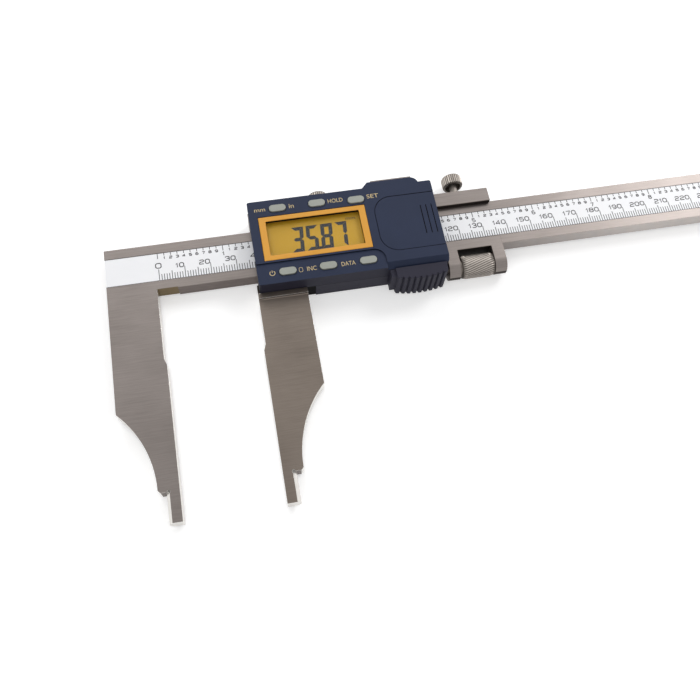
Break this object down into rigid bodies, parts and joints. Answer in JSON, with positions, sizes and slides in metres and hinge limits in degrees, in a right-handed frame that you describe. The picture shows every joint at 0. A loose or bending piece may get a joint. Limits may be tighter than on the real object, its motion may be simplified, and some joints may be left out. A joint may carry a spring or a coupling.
{
  "type": "digital caliper",
  "caption": "Electronic caliper with long jaws and rounded inside-measuring nibs, a sliding display housing on a flat scale beam, a fine-adjust carriage and locking thumb screws.",
  "frame": {"origin": "centre of the bounding box's base, on the plane of the slider's back, with the jaws open at the stored reading", "axes": "+X along the beam, towards rising readings; +Y from the jaw tips to the beam's top edge; +Z out of the display"},
  "size_m": [0.4284, 0.1242, 0.0155],
  "materials": {
    "beam_steel": "fine brushed stainless steel",
    "screw_steel": "turned and knurled stainless steel",
    "gib_brass": "plain brass",
    "scale_face": "white printed scale film",
    "housing": "fine-grained dark navy plastic",
    "bezel": "satin amber plastic",
    "display": "olive liquid crystal panel",
    "lens": "clear flat window",
    "buttons": "satin grey rubber-like plastic",
    "boards": "green solder mask",
    "seals": "matt dark rubber",
    "black_plastic": "matt black moulding",
    "plated": "nickel plate"
  },
  "bodies": {
    "beam": {"main_beam": "beam_steel", "scale_strip": "scale_face", "end_stop_plate": "beam_steel", "end_stop_screw_1": "screw_steel", "end_stop_screw_2": "screw_steel"},
    "slider": {"slider_frame": "beam_steel", "data_port_cover": "beam_steel", "gib_set_screw_1": "screw_steel", "gib_set_screw_2": "screw_steel", "adjust_rod": "screw_steel", "data_cover_screw_1": "screw_steel", "data_cover_screw_2": "screw_steel", "housing_screw_1": "screw_steel", "housing_screw_2": "screw_steel", "housing_screw_3": "screw_steel", "housing_screw_4": "screw_steel", "gib_strip": "gib_brass", "lock_pad": "gib_brass", "front_cover": "housing", "base_shell": "housing", "thumb_grip": "housing", "lcd_bezel": "bezel", "lcd_panel": "display", "lcd_window": "lens", "sensor_board": "boards", "main_board": "boards", "zebra_strip_upper": "seals", "zebra_strip_lower": "seals", "board_gasket": "seals", "battery_seal": "seals", "keypad_upper": "seals", "keypad_lower": "seals", "processor_chip": "black_plastic", "data_connector": "black_plastic", "battery_holder": "black_plastic", "coin_cell": "plated", "cell_spring": "plated", "cell_side_contact": "plated"},
    "lock_screw": {"lock_screw": "screw_steel"},
    "battery_cover": {"battery_cover": "housing"},
    "carriage": {"carriage_frame": "beam_steel", "clamp_shoe": "gib_brass"},
    "adjust_nut": {"adjust_nut": "screw_steel"},
    "clamp_screw": {"clamp_screw": "screw_steel"},
    "button_unit": {"button_unit": "buttons"},
    "button_hold": {"button_hold": "buttons"},
    "button_set": {"button_set": "buttons"},
    "button_power_zero": {"button_power_zero": "buttons"},
    "button_increment": {"button_increment": "buttons"},
    "button_data": {"button_data": "buttons"}
  },
  "joints": [
    {"name": "slider_slide", "type": "slide", "parent": "beam", "child": "slider", "axis": [1, 0, 0], "range_m": [-0.0358, 0.26413]},
    {"name": "carriage_slide", "type": "slide", "parent": "slider", "child": "carriage", "axis": [1, 0, 0], "range_m": [-0.0003, 0.0043]},
    {"name": "nut_spin", "type": "hinge", "parent": "carriage", "child": "adjust_nut", "pos_m": [-0.07038, 0.0201, 0.0048], "axis": [1, 0, 0], "range_deg": [-220, 3100]},
    {"name": "lock_screw_turn", "type": "hinge", "parent": "slider", "child": "lock_screw", "pos_m": [-0.12768, 0.0593, 0.0045], "axis": [0, 1, 0], "range_deg": [-180, 60]},
    {"name": "clamp_screw_turn", "type": "hinge", "parent": "carriage", "child": "clamp_screw", "pos_m": [-0.07098, 0.0593, 0.0045], "axis": [0, 1, 0], "range_deg": [-180, 60]},
    {"name": "button_unit_press", "type": "slide", "parent": "slider", "child": "button_unit", "axis": [0, 0, -1], "range_m": [0, 0.0005], "stiffness_N_per_m": 2000},
    {"name": "button_hold_press", "type": "slide", "parent": "slider", "child": "button_hold", "axis": [0, 0, -1], "range_m": [0, 0.0005], "stiffness_N_per_m": 2000},
    {"name": "button_set_press", "type": "slide", "parent": "slider", "child": "button_set", "axis": [0, 0, -1], "range_m": [0, 0.0005], "stiffness_N_per_m": 2000},
    {"name": "button_power_zero_press", "type": "slide", "parent": "slider", "child": "button_power_zero", "axis": [0, 0, -1], "range_m": [0, 0.0005], "stiffness_N_per_m": 2000},
    {"name": "button_increment_press", "type": "slide", "parent": "slider", "child": "button_increment", "axis": [0, 0, -1], "range_m": [0, 0.0005], "stiffness_N_per_m": 2000},
    {"name": "button_data_press", "type": "slide", "parent": "slider", "child": "button_data", "axis": [0, 0, -1], "range_m": [0, 0.0005], "stiffness_N_per_m": 2000},
    {"name": "battery_cover_slide", "type": "slide", "parent": "slider", "child": "battery_cover", "axis": [1, 0, 0], "range_m": [0, 0.026]}
  ],
  "couplings": [
    {"joint": "nut_spin", "follows": "carriage_slide", "rad_per_m": 12566}
  ]
}
